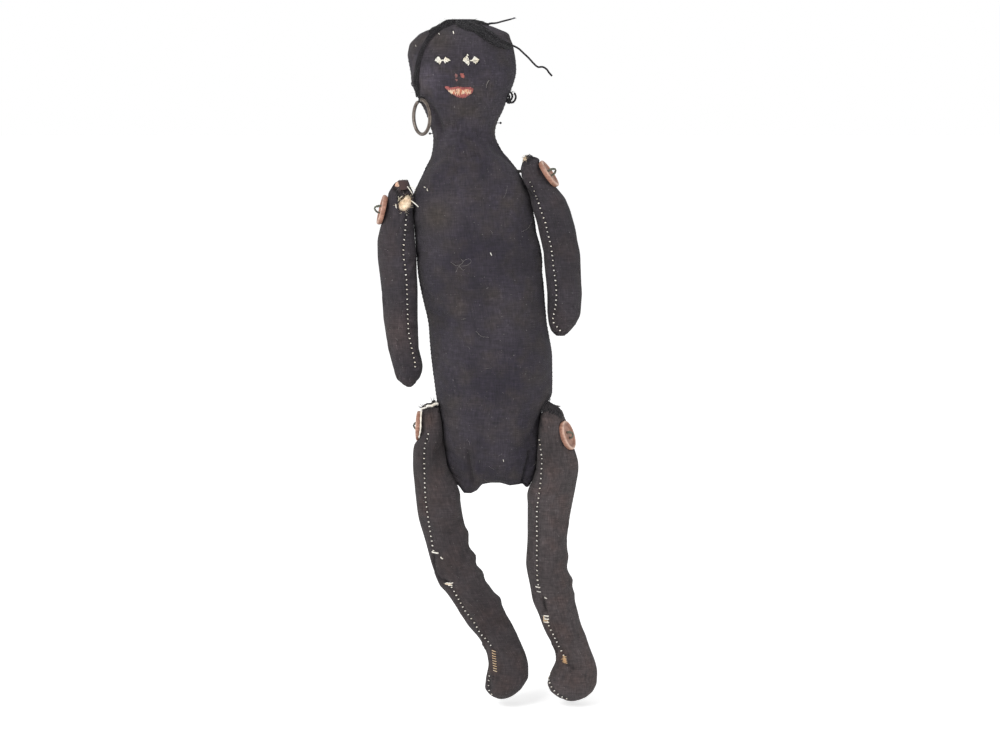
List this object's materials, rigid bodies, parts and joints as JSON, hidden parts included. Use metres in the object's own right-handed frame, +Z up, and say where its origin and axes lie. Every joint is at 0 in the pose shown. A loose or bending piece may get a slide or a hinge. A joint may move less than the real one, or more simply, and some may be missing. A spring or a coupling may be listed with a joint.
{
  "type": "rag doll",
  "caption": "Hand-sewn stuffed black cotton rag doll with embroidered face, yarn hair and ring earring; string-and-button joints let its limbs swing.",
  "frame": {"origin": "middle of the waist, half way between front and back", "axes": "+Z up towards the head, -Y the way the face looks, so -X is the doll's own right side"},
  "size_m": [0.1405, 0.048, 0.4337],
  "materials": {
    "body_cloth": "faded black plain-woven cotton, felted, browner on the chest",
    "limb_cloth": "faded black plain-woven cotton, a little browner and coarser",
    "stuffing": "loose cream cotton waste",
    "cream_thread": "dull cream sewing thread",
    "black_thread": "dull black sewing thread",
    "twine": "grey-green waxed twine",
    "button": "pink-brown, worn paler along the rim",
    "white_thread": "off-white embroidery floss in satin stitch",
    "red_thread": "faded red embroidery floss",
    "teeth_thread": "cream embroidery floss",
    "hair_yarn": "black two-ply wool yarn",
    "earring_brass": "dull grey-brown tarnished brass",
    "pin_head": "glossy black pin head"
  },
  "bodies": {
    "torso": {"body_front_cloth": "body_cloth", "body_back_cloth": "body_cloth", "body_stuffing": "stuffing", "body_seam_thread_right": "black_thread", "body_seam_thread_left": "black_thread", "shoulder_string": "twine", "hip_string": "twine", "eye_right": "white_thread", "eye_left": "white_thread", "nose_stitch_right": "red_thread", "nose_stitch_left": "red_thread", "mouth_teeth": "teeth_thread", "mouth_lips": "red_thread", "forehead_stitch": "white_thread", "hair_lock_right": "hair_yarn", "hair_lock_left": "hair_yarn", "hair_tail_left": "hair_yarn", "hair_tail_crown": "hair_yarn", "ear_loop_left": "hair_yarn", "ear_loop_right": "hair_yarn", "neck_pin_right": "pin_head", "neck_pin_left": "pin_head"},
    "right_arm": {"right_arm_cloth": "limb_cloth", "right_arm_stuffing": "stuffing", "right_arm_seam_thread": "cream_thread", "right_arm_button": "button", "right_arm_button_thread": "twine"},
    "left_arm": {"left_arm_cloth": "limb_cloth", "left_arm_stuffing": "stuffing", "left_arm_seam_thread": "cream_thread", "left_arm_button": "button", "left_arm_button_thread": "twine"},
    "right_leg": {"right_leg_cloth": "limb_cloth", "right_leg_stuffing": "stuffing", "right_leg_seam_thread": "cream_thread", "right_leg_button": "button", "right_leg_button_thread": "twine"},
    "left_leg": {"left_leg_cloth": "limb_cloth", "left_leg_stuffing": "stuffing", "left_leg_seam_thread": "cream_thread", "left_leg_button": "button", "left_leg_button_thread": "twine"},
    "earring": {"earring_ring": "earring_brass"}
  },
  "joints": [
    {"name": "right_shoulder", "type": "hinge", "parent": "torso", "child": "right_arm", "pos_m": [-0.04743, 0, 0.073], "axis": [-1, 0, 0], "range_deg": [-90, 150]},
    {"name": "left_shoulder", "type": "hinge", "parent": "torso", "child": "left_arm", "pos_m": [0.01904, 0, 0.097], "axis": [-1, 0, 0], "range_deg": [-90, 150]},
    {"name": "right_hip", "type": "hinge", "parent": "torso", "child": "right_leg", "pos_m": [-0.02983, 0, -0.0642], "axis": [-1, 0, 0], "range_deg": [-45, 100]},
    {"name": "left_hip", "type": "hinge", "parent": "torso", "child": "left_leg", "pos_m": [0.03241, 0, -0.06901], "axis": [-1, 0, 0], "range_deg": [-45, 100]},
    {"name": "earring_swing", "type": "hinge", "parent": "torso", "child": "earring", "pos_m": [-0.04086, -0.01126, 0.1415], "axis": [0.866, 0.5, 0], "range_deg": [-30, 30]}
  ]
}
